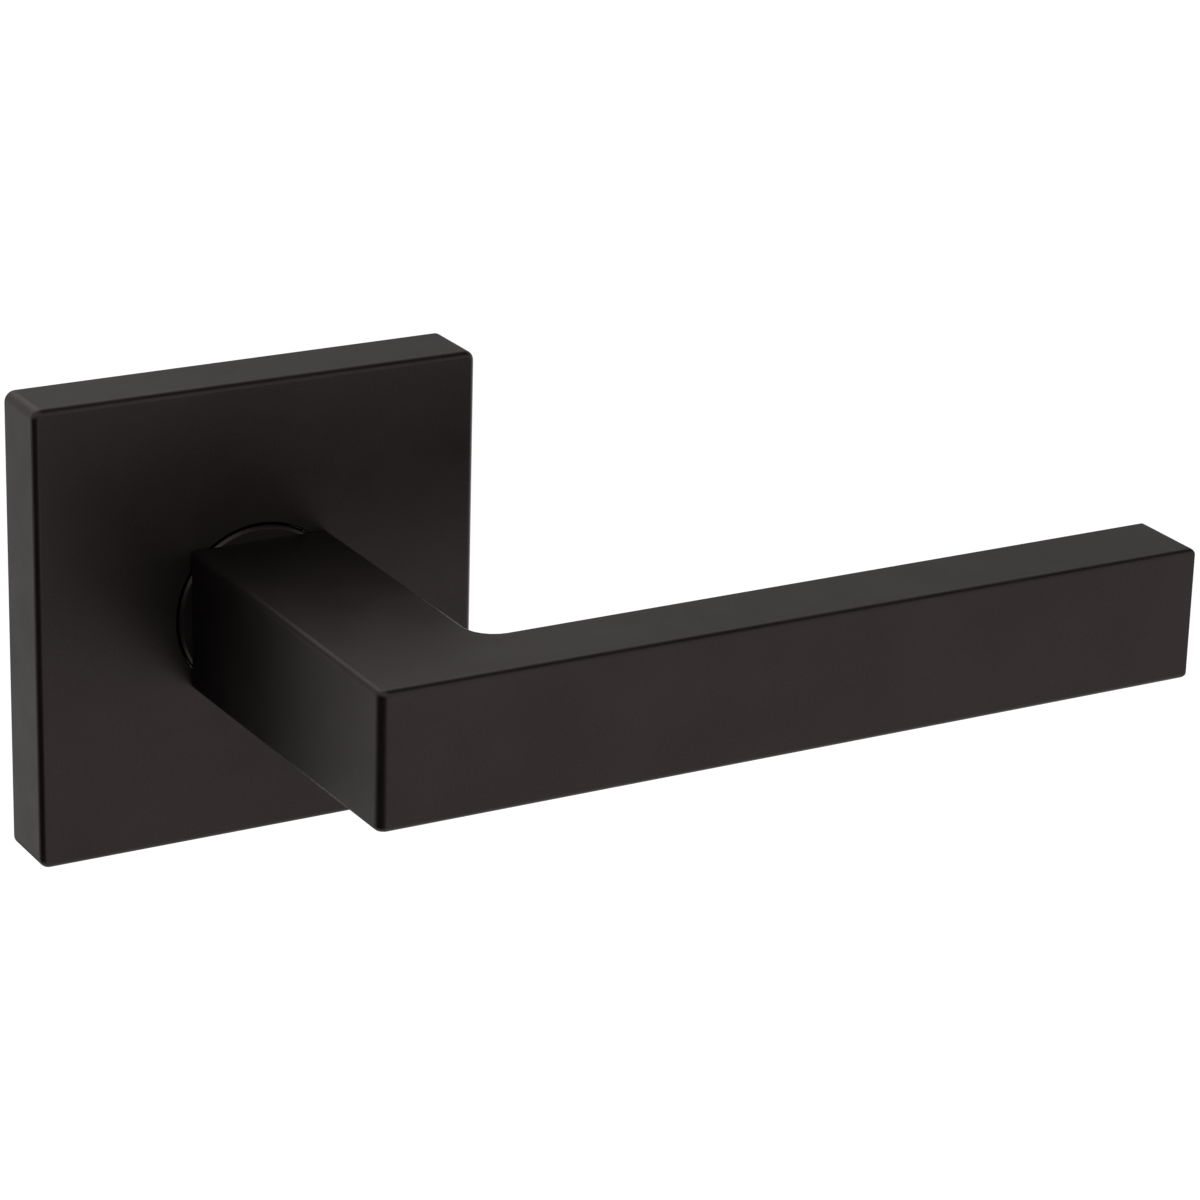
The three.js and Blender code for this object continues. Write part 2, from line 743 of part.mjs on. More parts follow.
const boltWasherBack = plateFront - SEAT_GAP;
const boltWasherFront = boltWasherBack - BOLT_WASHER_THICKNESS;

function boltWasher(x) {
  const washer = ring(boltHoleRadius, BOLT_WASHER_DIAMETER / 2, boltWasherFront, boltWasherBack);
  return at(washer, x, 0);
}

function throughBolt(x) {
  const bolt = panHeadScrew(
    BOLT_HEAD_DIAMETER / 2,
    BOLT_HEAD_HEIGHT,
    BOLT_DIAMETER / 2,
    boltWasherFront - SEAT_GAP,
    BOLT_REACH,
  );
  return at(bolt, x, 0);
}

// The quarter bend between a leg and the coil. `side` is 1 where the leg is in front, -1 behind.
function springBend(angle, depth, side) {
  const turn = SPRING_BEND / springRadius;
  return [0, 1, 2, 3].map((step) => {
    const bend = (step / 3) * (Math.PI / 2);
    const bendAngle = angle + side * turn * (1 - Math.cos(bend));
    return springPoint(bendAngle, depth + side * SPRING_BEND * Math.sin(bend));
  });
}

function springPoint(angle, depth) {
  const [x, z] = polar(springRadius, angle);
  return new THREE.Vector3(x, depth, z);
}

// A torsion spring. Each end bends into a leg along the axis: the front one into the cam's hole,
// the back one through the cage.
function returnSpring() {
  const frontBend = springBend(legAngle, springFront - SPRING_BEND, 1);
  const backBend = springBend(fixedLegAngle, springBack + SPRING_BEND, -1).reverse();
  const coil = [];
  const count = Math.round(SPRING_TURNS * SPRING_POINTS_PER_TURN);
  for (let i = 1; i < count; i += 1) {
    const angle = THREE.MathUtils.lerp(legAngle, fixedLegAngle, i / count);
    coil.push(springPoint(angle, THREE.MathUtils.lerp(springFront, springBack, i / count)));
  }
  const path = new THREE.CatmullRomCurve3([
    springPoint(legAngle, camFront),
    ...frontBend,
    ...coil,
    ...backBend,
    springPoint(fixedLegAngle, cageBack),
  ]);
  const section = new THREE.Shape();
  section.absarc(0, 0, SPRING_WIRE / 2, 0, 2 * Math.PI, false);
  return toSolid(new THREE.ExtrudeGeometry(section, {
    steps: SPRING_STEPS,
    extrudePath: path,
    curveSegments: ARC_STEPS,
    bevelEnabled: false,
  }));
}

// ---------------------------------------------------------------- assembly

const finishes = {
  bronze: { color: 0x2c2726, roughness: 0.45, metalness: 0.6 },
  zincPlate: { color: 0xb4b6b8, roughness: 0.4, metalness: 0.9 },
  zincCasting: { color: 0x8f9194, roughness: 0.5, metalness: 0.8 },
  springSteel: { color: 0x4a4c50, roughness: 0.35, metalness: 0.9 },
  blackOxide: { color: 0x1f1f21, roughness: 0.5, metalness: 0.7 },
  nylon: { color: 0xe6e2d6, roughness: 0.6, metalness: 0 },
};

function mesh(name, solid, finish) {
  const piece = new THREE.Mesh(toGeometry(solid), new THREE.MeshStandardMaterial(finishes[finish]));
  piece.name = name;
  return piece;
}

function turningParts() {
  const parts = new THREE.Group();
  parts.add(
    mesh('lever', lever(), 'bronze'),
    mesh('lever_set_screw', leverSetScrew(), 'blackOxide'),
    mesh('lever_collar', leverCollar(), 'bronze'),
    mesh('drive_hub', driveHub(), 'zincCasting'),
    mesh('front_retaining_ring', retainingRing(ringFront, ringBack), 'springSteel'),
    mesh('rear_retaining_ring', retainingRing(rearRingFront, rearRingBack), 'springSteel'),
    mesh('wave_washer', waveWasher(), 'springSteel'),
    mesh('stop_cam', stopCam(), 'zincPlate'),
    mesh('stop_pin', stopPin(), 'zincPlate'),
    mesh('spindle', spindle(), 'zincPlate'),
  );
  return parts;
}

function fixedParts() {
  const parts = new THREE.Group();
  parts.add(
    mesh('rosette_cover', rosetteCover(), 'bronze'),
    mesh('cover_grub_screw', coverGrubScrew(), 'blackOxide'),
    mesh('mounting_plate', mountingPlate(), 'zincPlate'),
    mesh('front_bush', frontBush(), 'nylon'),
    mesh('rear_bush', rearBush(), 'nylon'),
    mesh('spring_cage', springCage(), 'zincPlate'),
    mesh('return_spring', returnSpring(), 'springSteel'),
  );
  cageScrewPlaces().forEach((place, index) => {
    parts.add(mesh(`cage_screw_${index + 1}`, cageScrew(place), 'zincPlate'));
  });
  boltPlaces().forEach((x, index) => {
    parts.add(mesh(`bolt_washer_${index + 1}`, boltWasher(x), 'zincPlate'));
    parts.add(mesh(`through_bolt_${index + 1}`, throughBolt(x), 'zincPlate'));
  });
  return parts;
}

const handle = new THREE.Group();
handle.add(turningParts(), fixedParts());

export default handle;
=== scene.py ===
"""Looks of the door lever handle: fine meshes, finishes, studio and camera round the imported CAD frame.

Shapes are drawn in millimetres in the CAD's own frame and become metres when a mesh is made. The
spindle axis is Y, -Y points out of the door, +X runs along the grip, +Z is up. A depth is a Y value,
and a place is an X and a Z.
"""

import json
import math

import bmesh
import bpy
from mathutils import Matrix, Vector


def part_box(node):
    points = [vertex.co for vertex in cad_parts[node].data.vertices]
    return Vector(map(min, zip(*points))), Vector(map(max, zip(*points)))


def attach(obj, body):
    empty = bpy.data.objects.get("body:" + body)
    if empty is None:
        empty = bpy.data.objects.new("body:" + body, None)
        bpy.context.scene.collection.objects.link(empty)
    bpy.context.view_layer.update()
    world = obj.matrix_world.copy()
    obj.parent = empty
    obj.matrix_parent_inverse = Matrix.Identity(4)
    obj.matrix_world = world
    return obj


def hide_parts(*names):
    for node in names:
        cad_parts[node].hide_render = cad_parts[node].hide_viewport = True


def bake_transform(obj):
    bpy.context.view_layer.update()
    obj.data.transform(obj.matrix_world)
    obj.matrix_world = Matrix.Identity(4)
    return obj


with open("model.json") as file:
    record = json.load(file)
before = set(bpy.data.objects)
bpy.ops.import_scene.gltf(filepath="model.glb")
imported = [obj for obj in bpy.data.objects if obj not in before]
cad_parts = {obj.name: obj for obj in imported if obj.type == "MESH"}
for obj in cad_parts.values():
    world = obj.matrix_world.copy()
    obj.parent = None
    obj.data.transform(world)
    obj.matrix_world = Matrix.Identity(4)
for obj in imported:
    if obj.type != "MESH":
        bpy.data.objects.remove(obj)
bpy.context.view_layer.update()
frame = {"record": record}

MM = 0.001

# ------------------------------------------------------------------ sizes (millimetres)
# These repeat the CAD model's sizes that no node's box gives.

GRIP_THICKNESS = 12.5
GRIP_HEIGHT = 19.4
LEVER_EDGE_ROUND = 0.9
LEVER_ELBOW_ROUND = 1.5  # outer corner between neck and grip, seen from above
LEVER_INNER_FILLET = 3.9
LEVER_TIP_ROUND = 0.25  # upright edges of the tip
LEVER_HOLE_LEAD = 0.3  # chamfer at the mouth of the set screw's hole

COLLAR_CHAMFER = 0.35
COLLAR_GAP = 0.35

ROSETTE_WALL = 2
ROSETTE_EDGE_ROUND = 0.95  # along the front face
ROSETTE_RIM_ROUND = 0.2  # along the edge on the door
ROSETTE_CORNER_ROUND = 1.5  # seen from the front
ROSETTE_INNER_ROUND = 0.8  # corners of the hollow, seen from the front
ROSETTE_BORE_LEAD = 0.15
HOOK_SPACING = 30
HOOK_WIDTH = 6
PLATE_THICKNESS = 2
BOSS_WALL = 1.15
LIP_WIDTH = 16
LIP_THICKNESS = 1.5
LIP_INSET = 1.3
CAGE_SEAT_DEPTH = 0.3

SPINDLE_CHAMFER = 0.6
SPINDLE_SIDE_ROUND = 0.4
SPINDLE_END_ROUND = 0.1
HUB_HOLE = 8.2
HUB_HOLE_ROUND = 0.3
HUB_END_ROUND = 0.3
HUB_FLAT = 6
HUB_NOSE = 18
GROOVE_DEPTH = 0.6
RING_OPENING = math.radians(56)
RING_LUG_DIAMETER = 3.2
RING_LUG_HOLE = 1.1
WAVE_SHEET = 0.4
WAVE_COUNT = 3

BUSH_WALL = 1.1
FRONT_FLANGE_THICKNESS = 0.8
REAR_FLANGE_THICKNESS = 0.7
CAGE_WALL = 1.4
CAM_RING_WIDTH = 2.6
CAM_RIM = 1.2
CAM_LOBE_MARGIN = math.radians(14)
TRAVEL = math.radians(45)
STOP_PIN_DIAMETER = 3.2

SPRING_WIRE = 2
SPRING_TURNS = 3.5
SPRING_BEND = 2
SPRING_LEG_ANGLE = math.radians(60)  # from the stop pin to the moving leg
SPRING_LEG_HOLE = 2.6

BOLT_DIAMETER = 4
BOLT_HEAD_HEIGHT = 2.5
CAGE_SCREW_DIAMETER = 3
CAGE_SCREW_HEAD_HEIGHT = 1.8
SET_SCREW_DIAMETER = 5
SET_SCREW_KEY = 2.5
GRUB_SCREW_DIAMETER = 3
GRUB_SCREW_KEY = 1.5
SCREW_PITCHES = {3: 0.5, 4: 0.7, 5: 0.8}  # by thread diameter
THREAD_HEIGHT = 0.6  # as a share of the pitch
THREAD_SLOPE = 1.25  # above 1 the crest is flat
THREAD_START = 0.1  # under the head
SHANK = 0.8  # just under the head, as a share of the thread's radius
PAN_HEAD = (
    # shares of the head's radius, height and height: how far out, how far down, how round
    (0.8, 0, 0.4),
    (1, 0.6, 0.2),
    (1, 1, 0.06),
)
CROSS_REACH = 0.56  # the cross recess, as shares of the head's radius
CROSS_HALF_WIDTH = 0.13
CROSS_DEPTH = 0.55  # as a share of the head's height
CROSS_MOUTH = 1.08  # how many times its drawn size the cross is just above the face
CROSS_FLOOR = 0.45
CROSS_OVERCUT = 0.2
KEY_LEAD = 0.15  # chamfer at the mouth of a hexagon socket
KEY_DEPTH = 0.45  # as a share of the screw's length
KEY_TIP = 0.55

RUNNING_GAP = 0.15
SEAT_GAP = 0.1
FACE_GAP = 0.3
BOLT_PLAY = 0.3

# Rounding of the edges that cuts leave, by how a piece is made
CAST_EDGE = 0.15
STAMPED_EDGE = 0.12
DRAWN_EDGE = 0.1
CLIP_EDGE = 0.08

# Facets and shading
ROUND_STEPS = 128
SMALL_ROUND_STEPS = 36
EDGE_STEPS = 6
WIRE_STEPS = 20
TURN_STEPS = 60  # along the spring, for one turn
THREAD_STEPS = 8  # along one pitch
OVERCUT = 1  # how far a cutting tool runs past the face it opens
WELD_DISTANCE = 1e-4  # closer points become one
TIP_RADIUS = 1e-6  # a smaller ring is a single point
BROKEN_ANGLE = math.radians(40)  # sharper edges are rounded where a piece is cut
SHARP_ANGLE = math.radians(35)  # sharper edges stay sharp in smooth shading

# ------------------------------------------------------------------ outlines


def span(node):
    """The lowest and highest corner of a CAD node, in millimetres."""
    low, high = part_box(node)
    return low / MM, high / MM


def middle(node):
    """The place of a CAD node's centre."""
    low, high = span(node)
    return Vector(((low.x + high.x) / 2, (low.z + high.z) / 2))


def polar(radius, angle):
    return Vector((radius * math.cos(angle), radius * math.sin(angle)))


def arc(radius, start, end, steps=ROUND_STEPS, centre=(0, 0)):
    turn = (end - start) / steps
    return [Vector(centre) + polar(radius, start + turn * step) for step in range(steps + 1)]


def circle(radius, centre=(0, 0), steps=SMALL_ROUND_STEPS):
    return arc(radius, 0, 2 * math.pi, steps, centre)[:-1]


def soften(corners, closed=True, steps=EDGE_STEPS):
    """The points of an outline of (u, v, radius) corners, each rounded by an arc of its radius."""
    points = []
    last = len(corners) - 1
    for i, (u, v, radius) in enumerate(corners):
        corner = Vector((u, v))
        if radius == 0 or (not closed and i in (0, last)):
            points.append(corner)
            continue
        before = (Vector(corners[i - 1][:2]) - corner).normalized()
        after = (Vector(corners[i + 1 if i < last else 0][:2]) - corner).normalized()
        half = before.angle(after) / 2
        centre = corner + (before + after).normalized() * (radius / math.sin(half))
        start = corner + before * (radius / math.tan(half)) - centre
        end = corner + after * (radius / math.tan(half)) - centre
        turn = math.atan2(start.x * end.y - start.y * end.x, start.dot(end))
        for step in range(steps + 1):
            points.append(centre + Matrix.Rotation(turn * step / steps, 2) @ start)
    return points


def flatted(radius, flat):
    """A circle's outline with a flat above and a flat below."""
    corner = math.asin(flat / radius)
    half = ROUND_STEPS // 2
    return arc(radius, -corner, corner, half) + arc(radius, math.pi - corner, math.pi + corner, half)


def at_depth(outline, depth):
    """An outline of places as a ring of points."""
    return [(x, depth, z) for x, z in outline]


def square(half, corner, depth):
    """A ring round a square of that half side, with rounded corners."""
    return at_depth(soften([
        (-half, -half, corner), (half, -half, corner), (half, half, corner), (-half, half, corner),
    ]), depth)


# ------------------------------------------------------------------ mesh tools


def mesh_object(name, bm):
    bmesh.ops.scale(bm, vec=(MM, MM, MM), verts=bm.verts)
    bmesh.ops.remove_doubles(bm, verts=bm.verts, dist=MM * WELD_DISTANCE)
    bmesh.ops.recalc_face_normals(bm, faces=bm.faces)
    mesh = bpy.data.meshes.new(name)
    bm.to_mesh(mesh)
    bm.free()
    piece = bpy.data.objects.new(name, mesh)
    bpy.context.scene.collection.objects.link(piece)
    return piece


def loft(name, rings, closed=False):
    """A solid through rings of points, closed on itself or with a face at each end.

    A ring of one point is a tip.
    """
    bm = bmesh.new()
    size = max(len(ring) for ring in rings)
    made = []
    for ring in rings:
        verts = [bm.verts.new(point) for point in ring]
        made.append(verts if len(verts) > 1 else verts * size)
    following = made[1:] + made[:1] if closed else made[1:]
    for first, second in zip(made, following):
        for i in range(size):
            j = (i + 1) % size
            corners = list(dict.fromkeys((first[i], first[j], second[j], second[i])))
            if len(corners) > 2:
                bm.faces.new(corners)
    if not closed:
        for verts in (made[0], made[-1]):
            if verts[0] is not verts[1]:
                bm.faces.new(verts)
    return mesh_object(name, bm)


def turned_rings(points, centre, steps):
    """Rings round a line along Y, from (radius, depth) points."""
    return [
        at_depth(circle(radius, centre, steps) if radius > TIP_RADIUS else [centre], depth)
        for radius, depth in points
    ]


def turned(name, corners, centre=(0, 0), steps=ROUND_STEPS):
    """A profile of (radius, depth, rounding) corners turned round a line along Y.

    It starts and ends on that line, or closes on itself.
    """
    closed = corners[0][0] > 0
    return loft(name, turned_rings(soften(corners, closed), centre, steps), closed)


def extruded(name, outline, front, back):
    return loft(name, [at_depth(outline, depth) for depth in (front, back)])


def rod(radius, front, back, centre=(0, 0)):
    return extruded("rod", circle(radius, centre), front, back)


def disc(radius, front, back):
    return extruded("disc", circle(radius, steps=ROUND_STEPS), front, back)


def box(low, high):
    """A block between two (x, depth, z) corners."""
    corners = [(low[0], low[2]), (high[0], low[2]), (high[0], high[2]), (low[0], high[2])]
    return extruded("box", corners, low[1], high[1])


def countersunk(name, radius, front, back, lead, steps):
    """A tool for a hole with a small chamfer at its front face."""
    return turned(name, [
        (0, front - OVERCUT, 0), (radius + lead + OVERCUT, front - OVERCUT, 0),
        (radius, front + lead, 0), (radius, back, 0), (0, back, 0),
    ], steps=steps)


def upright(piece, depth, height=0):
    """Turns a piece drawn along Y so that it stands along Z, with its depth 0 at the height."""
    turn = Matrix.Rotation(math.pi / 2, 4, "X")
    piece.data.transform(Matrix.Translation((0, depth * MM, height * MM)) @ turn)
    return piece


def combine(operation, piece, tools):
    for tool in tools:
        modifier = piece.modifiers.new("tool", "BOOLEAN")
        modifier.operation = operation
        modifier.solver = "EXACT"
        modifier.object = tool
    evaluated = piece.evaluated_get(bpy.context.evaluated_depsgraph_get())
    piece.data = bpy.data.meshes.new_from_object(evaluated)
    piece.modifiers.clear()
    for tool in tools:
        bpy.data.objects.remove(tool)
    return piece


def cut(piece, tools):
    return combine("DIFFERENCE", piece, tools)


def join(piece, tools):
    return combine("UNION", piece, tools)


def break_edges(piece, width):
    """Rounds the sharp edges that cuts and joins leave."""
    edge = piece.modifiers.new("edge", "BEVEL")
    edge.width = width * MM
    edge.segments = 2
    edge.limit_method = "ANGLE"
    edge.angle_limit = BROKEN_ANGLE
    return piece


def dress(piece, node):
    """The piece stands for a CAD node, smooth-shaded and in that node's finish."""
    piece.data.shade_smooth()
    piece.data.set_sharp_from_angle(angle=SHARP_ANGLE)
    slot = SLOT_OF_NODE[node]
    piece.data.materials.clear()
    piece.data.materials.append(FINISHES[slot])
    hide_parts(node)


def place(piece, body, node):
    """Dresses a rigid piece and makes it ride on a body."""
    dress(piece, node)
    piece.modifiers.new("flat_faces", "WEIGHTED_NORMAL").keep_sharp = True
    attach(piece, body)


# ------------------------------------------------------------------ finishes


def grey(value):
    return (value, value, value, 1)


class Finish:
    """A procedural material on the Principled shader. Grain, reach and height are in millimetres."""

    def __init__(self, name, **values):
        self.material = bpy.data.materials.new(name)
        self.material.use_nodes = True
        self.nodes = self.material.node_tree.nodes
        self.links = self.material.node_tree.links
        self.shader = self.nodes["Principled BSDF"]
        self.place = self.nodes.new("ShaderNodeTexCoord").outputs["Object"]
        for socket, value in values.items():
            self.shader.inputs[socket.replace("_", " ")].default_value = value

    def feed(self, socket, value):
        if isinstance(value, bpy.types.NodeSocket):
            self.links.new(value, socket)
        else:
            socket.default_value = value

    def noise(self, grain, detail=3, stretch=(1, 1, 1)):
        """Noise with features about `grain` across, stretched along the axes."""
        mapping = self.nodes.new("ShaderNodeMapping")
        mapping.inputs["Scale"].default_value = [1 / (grain * MM * along) for along in stretch]
        self.feed(mapping.inputs["Vector"], self.place)
        noise = self.nodes.new("ShaderNodeTexNoise")
        noise.inputs["Scale"].default_value = 1
        noise.inputs["Detail"].default_value = detail
        self.feed(noise.inputs["Vector"], mapping.outputs[0])
        return noise.outputs["Fac"]

    def between(self, factor, low, high, start=0.3, end=0.7):
        """Maps the factor's range from start to end onto low to high."""
        node = self.nodes.new("ShaderNodeMapRange")
        for socket, value in zip(node.inputs, (factor, start, end, low, high)):
            self.feed(socket, value)
        return node.outputs[0]

    def product(self, first, second):
        node = self.nodes.new("ShaderNodeMath")
        node.operation = "MULTIPLY"
        self.feed(node.inputs[0], first)
        self.feed(node.inputs[1], second)
        return node.outputs[0]

    def blend(self, factor, first, second):
        """A colour between the first and the second."""
        node = self.nodes.new("ShaderNodeMix")
        node.data_type = "RGBA"
        colour_sockets = (node.inputs[0], node.inputs[6], node.inputs[7])
        for socket, value in zip(colour_sockets, (factor, first, second)):
            self.feed(socket, value)
        return node.outputs[2]

    def edges(self, reach):
        """0 on flat faces, rising to 1 on edges and corners within the reach."""
        bevel = self.nodes.new("ShaderNodeBevel")
        bevel.samples = 8
        bevel.inputs["Radius"].default_value = reach * MM
        # The cosine between the normal that Bevel softens and the true one is 1 on flat faces.
        dot = self.nodes.new("ShaderNodeVectorMath")
        dot.operation = "DOT_PRODUCT"
        self.feed(dot.inputs[0], bevel.outputs[0])
        self.feed(dot.inputs[1], self.nodes.new("ShaderNodeNewGeometry").outputs["Normal"])
        return self.between(dot.outputs["Value"], 1, 0, 0.9, 0.99)

    def finish(self, colour, roughness, *bumps):
        """Feeds the shader. Bumps are (factor, height), the finest last."""
        self.feed(self.shader.inputs["Base Color"], colour)
        self.feed(self.shader.inputs["Roughness"], roughness)
        normal = None
        for factor, height in bumps:
            bump = self.nodes.new("ShaderNodeBump")
            bump.inputs["Distance"].default_value = height * MM
            self.feed(bump.inputs["Height"], factor)
            if normal:
                self.feed(bump.inputs["Normal"], normal)
            normal = bump.outputs[0]
        self.feed(self.shader.inputs["Normal"], normal)
        return self.material


def bronze_finish():
    """Satin dark bronze over a zinc casting, very slightly rubbed along its edges.

    It shines like metal, with a little matt colour in it.
    """
    coat = Finish("bronze_finish", Metallic=0.9, Specular_Tint=grey(0.82))
    cloud = coat.between(coat.noise(22), 0, 1)
    body = coat.blend(cloud, (0.0289, 0.0226, 0.0225, 1), (0.034, 0.0268, 0.0267, 1))
    speckle = coat.between(coat.noise(0.4, 2), 0, 0.4, 0.45, 0.75)
    body = coat.blend(speckle, body, (0.0416, 0.0336, 0.0335, 1))
    patchy = coat.between(coat.noise(2.5, 4), 0, 0.4, 0.4, 0.7)
    body = coat.blend(coat.product(coat.edges(0.4), patchy), body, (0.0525, 0.042, 0.0399, 1))
    roughness = coat.between(coat.noise(7, 4), 0.36, 0.42)
    return coat.finish(body, roughness, (coat.noise(6, 2), 0.006), (coat.noise(0.3, 2), 0.0015))


def zinc_plate():
    """Bright zinc plate on steel, with a faint blue and yellow passivation and dull stains."""
    plate = Finish("zinc_plated_steel", Metallic=1)
    tint = plate.between(plate.noise(8), 0, 1)
    body = plate.blend(tint, (0.50, 0.525, 0.56, 1), (0.60, 0.575, 0.50, 1))
    stain = plate.between(plate.noise(2.2, 5), 0, 0.6, 0.5, 0.72)
    body = plate.blend(stain, body, grey(0.38))
    body = plate.blend(plate.product(plate.edges(0.25), 0.6), body, grey(0.68))
    roughness = plate.between(plate.noise(1.4, 4), 0.26, 0.44)
    return plate.finish(body, roughness, (plate.noise(2), 0.006),
                        (plate.noise(0.12, 3, (20, 1, 1)), 0.0015))


def zinc_casting():
    """Bare zinc casting: dull grey, with the grain of its skin."""
    casting = Finish("zinc_casting", Metallic=1)
    tint = casting.between(casting.noise(3, 4), 0, 1)
    body = casting.blend(tint, (0.27, 0.28, 0.295, 1), (0.37, 0.37, 0.365, 1))
    body = casting.blend(casting.product(casting.edges(0.3), 0.5), body, grey(0.55))
    roughness = casting.between(casting.noise(0.8, 4), 0.42, 0.62)
    return casting.finish(body, roughness, (casting.noise(0.7, 4), 0.015),
                          (casting.noise(0.12), 0.004))


def spring_steel():
    """Oiled spring steel, blue-grey, with faint drawing lines."""
    steel = Finish("spring_steel", Metallic=1)
    tint = steel.between(steel.noise(1.5), 0, 1)
    body = steel.blend(tint, (0.075, 0.08, 0.095, 1), (0.14, 0.13, 0.12, 1))
    body = steel.blend(steel.product(steel.edges(0.15), 0.6), body, grey(0.3))
    roughness = steel.between(steel.noise(0.7), 0.24, 0.40)
    return steel.finish(body, roughness, (steel.noise(0.15, 3, (1, 10, 1)), 0.002))


def black_oxide():
    """Black oxide on an alloy set screw, rubbed bright at its edges."""
    oxide = Finish("black_oxide", Metallic=0.8)
    tint = oxide.between(oxide.noise(0.8), 0, 1)
    body = oxide.blend(tint, (0.014, 0.014, 0.017, 1), (0.026, 0.025, 0.026, 1))
    body = oxide.blend(oxide.product(oxide.edges(0.12), 0.5), body, grey(0.12))
    roughness = oxide.between(oxide.noise(0.5), 0.34, 0.50)
    return oxide.finish(body, roughness, (oxide.noise(0.2), 0.003))


def nylon():
    """Natural nylon, slightly translucent, with a moulded skin."""
    plastic = Finish("nylon", Subsurface_Weight=0.25, Subsurface_Scale=1.2 * MM)
    tint = plastic.between(plastic.noise(4), 0, 1)
    body = plastic.blend(tint, (0.66, 0.63, 0.54, 1), (0.74, 0.71, 0.63, 1))
    roughness = plastic.between(plastic.noise(1), 0.42, 0.56)
    return plastic.finish(body, roughness, (plastic.noise(0.4), 0.006))


FINISHES = {
    "bronze_finish": bronze_finish(),
    "zinc_plated_steel": zinc_plate(),
    "zinc_casting": zinc_casting(),
    "spring_steel": spring_steel(),
    "black_oxide": black_oxide(),
    "nylon": nylon(),
}
SLOT_OF_NODE = {part["node"]: part["material_slot"] for part in frame["record"]["subparts"]}

# ------------------------------------------------------------------ sizes that pieces share

hub_low, hub_high = span("drive_hub")
hub_radius = hub_high.x
socket_radius = hub_radius + SEAT_GAP
bush_inner = hub_radius + RUNNING_GAP
bush_outer = bush_inner + BUSH_WALL
bush_seat = bush_outer + SEAT_GAP
pin_place = middle("stop_pin")
pin_angle = math.atan2(pin_place.y, pin_place.x)
leg_angle = pin_angle + SPRING_LEG_ANGLE
fixed_leg_angle = leg_angle + SPRING_TURNS * 2 * math.pi
cam_radius = pin_place.length + STOP_PIN_DIAMETER / 2 + CAM_RIM
spring_radius = cam_radius - CAM_RIM - SPRING_LEG_HOLE / 2
bolts = [middle(f"through_bolt_{i}") for i in (1, 2)]
cage_screws = [middle(f"cage_screw_{i}") for i in (1, 2, 3, 4)]

# ------------------------------------------------------------------ lever and collar


def lever_outline(inset):
    """The lever's plan as X and depth, smaller by the inset all round."""
    low, high = span("lever")
    neck = -low.x - inset
    tip = high.x - inset
    front = low.y + inset
    back = low.y + GRIP_THICKNESS - inset
    return soften([
        (-neck, front, LEVER_ELBOW_ROUND - inset),
        (tip, front, LEVER_TIP_ROUND),
        (tip, back, LEVER_TIP_ROUND),
        (neck, back, LEVER_INNER_FILLET + inset),
        (neck, high.y, 0),
        (-neck, high.y, 0),
    ])


def rounded_levels(half, radius):
    """(inset, height) pairs from the lower face to the upper face over two rounded edges."""
    levels = []
    for step in range(EDGE_STEPS + 1):
        turn = math.pi / 2 * step / EDGE_STEPS
        levels.append((radius * (1 - math.sin(turn)), radius * (1 - math.cos(turn)) - half))
    return levels + [(inset, -height) for inset, height in reversed(levels)]


def lever_taper(depth):
    """How many times its front height the lever is tall at a depth."""
    low, high = span("lever")
    root = 2 * high.z / GRIP_HEIGHT
    return 1 + (root - 1) * (depth - low.y) / (high.y - low.y)


def make_lever():
    rings = [
        [(x, depth, height * lever_taper(depth)) for x, depth in lever_outline(inset)]
        for inset, height in rounded_levels(GRIP_HEIGHT / 2, LEVER_EDGE_ROUND)
    ]
    lever = loft("lever_casting", rings)
    socket = extruded("socket", flatted(socket_radius, HUB_FLAT + SEAT_GAP),
                      hub_low.y - FACE_GAP, span("lever")[1].y + OVERCUT)
    screw_low, screw_high = span("lever_set_screw")
    depth = (screw_low.y + screw_high.y) / 2
    underside = -GRIP_HEIGHT / 2 * lever_taper(depth)
    screw_hole = countersunk("screw_hole", screw_high.x + SEAT_GAP, underside, 0,
                             LEVER_HOLE_LEAD, SMALL_ROUND_STEPS)
    place(cut(lever, [socket, upright(screw_hole, depth)]), "lever", "lever")


def make_collar():
    low, high = span("lever_collar")
    soft = 0.1
    collar = turned("collar_disc", [
        (socket_radius, low.y, soft),
        (high.x - COLLAR_CHAMFER, low.y, soft),
        (high.x, low.y + COLLAR_CHAMFER, soft),
        (high.x, high.y, soft),
        (socket_radius, high.y, soft),
    ])
    place(collar, "lever", "lever_collar")


# ------------------------------------------------------------------ rosette cover and mounting plate


def hook_boxes(gap):
    """The mounting plate's hooks, or with a gap the notches for them in the cover."""
    high = span("mounting_plate")[1]
    plate_top = high.x  # the plate is square, and only the hooks rise above it
    half = HOOK_WIDTH / 2 + gap
    return [
        box((x - half, -PLATE_THICKNESS - gap, plate_top - OVERCUT), (x + half, gap, high.z + gap))
        for x in (-HOOK_SPACING / 2, HOOK_SPACING / 2)
    ]


